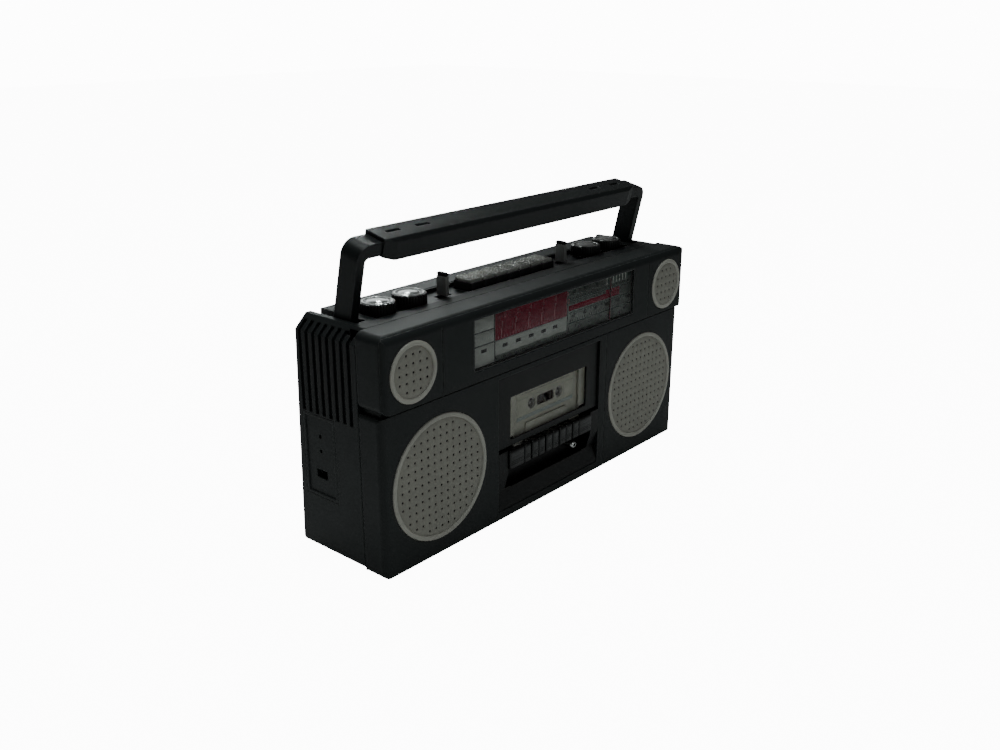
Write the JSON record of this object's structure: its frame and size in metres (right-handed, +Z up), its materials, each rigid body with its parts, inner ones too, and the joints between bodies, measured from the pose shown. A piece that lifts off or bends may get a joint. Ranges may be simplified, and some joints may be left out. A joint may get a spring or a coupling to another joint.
{
  "type": "cassette player",
  "caption": "Portable stereo radio cassette player: wide black cabinet with round speaker grilles, a tuning dial, a front cassette door with piano keys and a folding handle.",
  "frame": {"origin": "on the surface the feet stand on, at the middle of the width and depth", "axes": "+X to the right as seen from the front, +Y from front to back, +Z up"},
  "size_m": [0.45, 0.1156, 0.2917],
  "materials": {
    "cabinet": "fine moulded texture",
    "trough": "satin",
    "socket_plate": "satin",
    "feet": "matt",
    "screws": "plated",
    "grilles": "pressed and painted",
    "speakers": "matt",
    "dial": "printed",
    "window": "clear",
    "pointer": "gloss",
    "knobs": "fluted",
    "selector_keys": "silver paint",
    "tape_keys": "satin",
    "steel": "zinc plated",
    "cassette": "satin",
    "tape": "tape pack",
    "motor": "drawn can",
    "brass": "turned",
    "belt": "matt",
    "jack": "polished",
    "contacts": "nickel plated",
    "board": "etched board",
    "transformer": "varnished laminations"
  },
  "bodies": {
    "cabinet": {"front_cabinet": "cabinet", "tuner_panel": "cabinet", "rear_cabinet": "cabinet", "control_trough": "trough", "socket_panel": "socket_plate", "feet": "feet", "cabinet_screws": "screws", "key_bezel": "trough", "left_woofer_grille": "grilles", "right_woofer_grille": "grilles", "left_tweeter_grille": "grilles", "right_tweeter_grille": "grilles", "left_woofer": "speakers", "right_woofer": "speakers", "left_tweeter": "speakers", "right_tweeter": "speakers", "dial_scale": "dial", "dial_lens": "window", "deck_chassis": "steel", "drive_motor": "motor", "drive_belt": "belt", "headphone_jack": "jack", "handle_pivots": "screws", "battery_contacts": "contacts", "main_board": "board", "transformer": "transformer"},
    "handle": {"handle_frame": "cabinet", "handle_grip": "trough"},
    "volume_knob": {"volume_knob": "knobs"},
    "balance_knob": {"balance_knob": "knobs"},
    "tone_knob": {"tone_knob": "knobs"},
    "tuning_knob": {"tuning_knob": "knobs"},
    "pointer": {"dial_pointer": "pointer"},
    "function_lever": {"function_lever": "trough"},
    "band_lever": {"band_lever": "trough"},
    "selector_key_1": {"selector_key_1": "selector_keys"},
    "selector_key_2": {"selector_key_2": "selector_keys"},
    "selector_key_3": {"selector_key_3": "selector_keys"},
    "selector_key_4": {"selector_key_4": "selector_keys"},
    "selector_key_5": {"selector_key_5": "selector_keys"},
    "selector_key_6": {"selector_key_6": "selector_keys"},
    "selector_key_7": {"selector_key_7": "selector_keys"},
    "door": {"cassette_door": "cabinet", "door_window": "window", "cassette_holder": "steel", "cassette_shell": "cassette"},
    "supply_reel": {"supply_reel": "tape"},
    "supply_spindle": {"supply_spindle": "cassette"},
    "takeup_reel": {"takeup_reel": "tape"},
    "takeup_spindle": {"takeup_spindle": "cassette"},
    "flywheel": {"flywheel": "steel"},
    "motor_pulley": {"motor_pulley": "brass"},
    "record_key": {"record_key": "tape_keys"},
    "rewind_key": {"rewind_key": "tape_keys"},
    "play_key": {"play_key": "tape_keys"},
    "forward_key": {"forward_key": "tape_keys"},
    "stop_key": {"stop_key": "tape_keys"},
    "pause_key": {"pause_key": "tape_keys"},
    "head_carriage": {"head_carriage": "steel"},
    "battery_lid": {"battery_door": "cabinet"}
  },
  "joints": [
    {"name": "handle_swing", "type": "hinge", "parent": "cabinet", "child": "handle", "pos_m": [0, 0.0173, 0.192], "axis": [1, 0, 0], "range_deg": [-100, 0]},
    {"name": "volume_turn", "type": "hinge", "parent": "cabinet", "child": "volume_knob", "pos_m": [-0.1685, 0.0083, 0.2195], "axis": [0, 0, -1], "range_deg": [-70, 200]},
    {"name": "balance_turn", "type": "hinge", "parent": "cabinet", "child": "balance_knob", "pos_m": [-0.1305, 0.0083, 0.2195], "axis": [0, 0, -1], "range_deg": [-135, 135]},
    {"name": "tone_turn", "type": "hinge", "parent": "cabinet", "child": "tone_knob", "pos_m": [0.1305, 0.0083, 0.2195], "axis": [0, 0, -1], "range_deg": [-150, 120]},
    {"name": "tuning_turn", "type": "hinge", "parent": "cabinet", "child": "tuning_knob", "pos_m": [0.1685, 0.0083, 0.2195], "axis": [0, 0, -1], "range_deg": [-581.25, 318.75]},
    {"name": "pointer_slide", "type": "slide", "parent": "cabinet", "child": "pointer", "axis": [1, 0, 0], "range_m": [-0.062, 0.034]},
    {"name": "function_slide", "type": "slide", "parent": "cabinet", "child": "function_lever", "axis": [1, 0, 0], "range_m": [-0.007, 0.007]},
    {"name": "band_slide", "type": "slide", "parent": "cabinet", "child": "band_lever", "axis": [1, 0, 0], "range_m": [-0.007, 0.007]},
    {"name": "selector_press_1", "type": "slide", "parent": "cabinet", "child": "selector_key_1", "axis": [0, 0, -1], "range_m": [0, 0.004], "stiffness_N_per_m": 300, "springref_m": -0.002},
    {"name": "selector_press_2", "type": "slide", "parent": "cabinet", "child": "selector_key_2", "axis": [0, 0, -1], "range_m": [0, 0.004], "stiffness_N_per_m": 300, "springref_m": -0.002},
    {"name": "selector_press_3", "type": "slide", "parent": "cabinet", "child": "selector_key_3", "axis": [0, 0, -1], "range_m": [0, 0.004], "stiffness_N_per_m": 300, "springref_m": -0.002},
    {"name": "selector_press_4", "type": "slide", "parent": "cabinet", "child": "selector_key_4", "axis": [0, 0, -1], "range_m": [0, 0.004], "stiffness_N_per_m": 300, "springref_m": -0.002},
    {"name": "selector_press_5", "type": "slide", "parent": "cabinet", "child": "selector_key_5", "axis": [0, 0, -1], "range_m": [0, 0.004], "stiffness_N_per_m": 300, "springref_m": -0.002},
    {"name": "selector_press_6", "type": "slide", "parent": "cabinet", "child": "selector_key_6", "axis": [0, 0, -1], "range_m": [0, 0.004], "stiffness_N_per_m": 300, "springref_m": -0.002},
    {"name": "selector_press_7", "type": "slide", "parent": "cabinet", "child": "selector_key_7", "axis": [0, 0, -1], "range_m": [0, 0.004], "stiffness_N_per_m": 300, "springref_m": -0.002},
    {"name": "door_swing", "type": "hinge", "parent": "cabinet", "child": "door", "pos_m": [0, -0.0445, 0.075], "axis": [1, 0, 0], "range_deg": [0, 35]},
    {"name": "supply_reel_turn", "type": "hinge", "parent": "door", "child": "supply_reel", "pos_m": [-0.02125, -0.03935, 0.104], "axis": [0, 1, 0], "continuous": true},
    {"name": "supply_spindle_turn", "type": "hinge", "parent": "cabinet", "child": "supply_spindle", "pos_m": [-0.02125, -0.03935, 0.104], "axis": [0, 1, 0], "continuous": true},
    {"name": "takeup_reel_turn", "type": "hinge", "parent": "door", "child": "takeup_reel", "pos_m": [0.02125, -0.03935, 0.104], "axis": [0, 1, 0], "continuous": true},
    {"name": "takeup_spindle_turn", "type": "hinge", "parent": "cabinet", "child": "takeup_spindle", "pos_m": [0.02125, -0.03935, 0.104], "axis": [0, 1, 0], "continuous": true},
    {"name": "flywheel_turn", "type": "hinge", "parent": "cabinet", "child": "flywheel", "pos_m": [0.023, -0.0107, 0.0754], "axis": [0, 1, 0], "continuous": true},
    {"name": "motor_turn", "type": "hinge", "parent": "cabinet", "child": "motor_pulley", "pos_m": [-0.042, -0.0107, 0.102], "axis": [0, 1, 0], "continuous": true},
    {"name": "record_press", "type": "hinge", "parent": "cabinet", "child": "record_key", "pos_m": [-0.05425, -0.0177, 0.0535], "axis": [1, 0, 0], "range_deg": [0, 7], "stiffness_Nm_per_rad": 0.3, "springref_deg": -2.86},
    {"name": "rewind_press", "type": "hinge", "parent": "cabinet", "child": "rewind_key", "pos_m": [-0.03255, -0.0177, 0.0535], "axis": [1, 0, 0], "range_deg": [0, 7], "stiffness_Nm_per_rad": 0.3, "springref_deg": -2.86},
    {"name": "play_press", "type": "hinge", "parent": "cabinet", "child": "play_key", "pos_m": [-0.01085, -0.0177, 0.0535], "axis": [1, 0, 0], "range_deg": [0, 7], "stiffness_Nm_per_rad": 0.3, "springref_deg": -2.86},
    {"name": "forward_press", "type": "hinge", "parent": "cabinet", "child": "forward_key", "pos_m": [0.01085, -0.0177, 0.0535], "axis": [1, 0, 0], "range_deg": [0, 7], "stiffness_Nm_per_rad": 0.3, "springref_deg": -2.86},
    {"name": "stop_press", "type": "hinge", "parent": "cabinet", "child": "stop_key", "pos_m": [0.03255, -0.0177, 0.0535], "axis": [1, 0, 0], "range_deg": [0, 7], "stiffness_Nm_per_rad": 0.3, "springref_deg": -2.86},
    {"name": "pause_press", "type": "hinge", "parent": "cabinet", "child": "pause_key", "pos_m": [0.05425, -0.0177, 0.0535], "axis": [1, 0, 0], "range_deg": [0, 7], "stiffness_Nm_per_rad": 0.3, "springref_deg": -2.86},
    {"name": "carriage_slide", "type": "slide", "parent": "cabinet", "child": "head_carriage", "axis": [0, 0, 1], "range_m": [0, 0.002]},
    {"name": "battery_lid_swing", "type": "hinge", "parent": "cabinet", "child": "battery_lid", "pos_m": [0, 0.05587, 0.01589], "axis": [-1, 0, 0], "range_deg": [0, 90]}
  ],
  "couplings": [
    {"joint": "pointer_slide", "follows": "tuning_turn", "m_per_rad": 0.0061109},
    {"joint": "play_press", "follows": "carriage_slide", "rad_per_m": 61.08},
    {"joint": "motor_turn", "follows": "flywheel_turn", "ratio": 4.2857},
    {"joint": "takeup_reel_turn", "follows": "supply_reel_turn", "ratio": 1.6154},
    {"joint": "takeup_spindle_turn", "follows": "supply_reel_turn", "ratio": 1.6154},
    {"joint": "supply_spindle_turn", "follows": "supply_reel_turn", "ratio": 1}
  ]
}
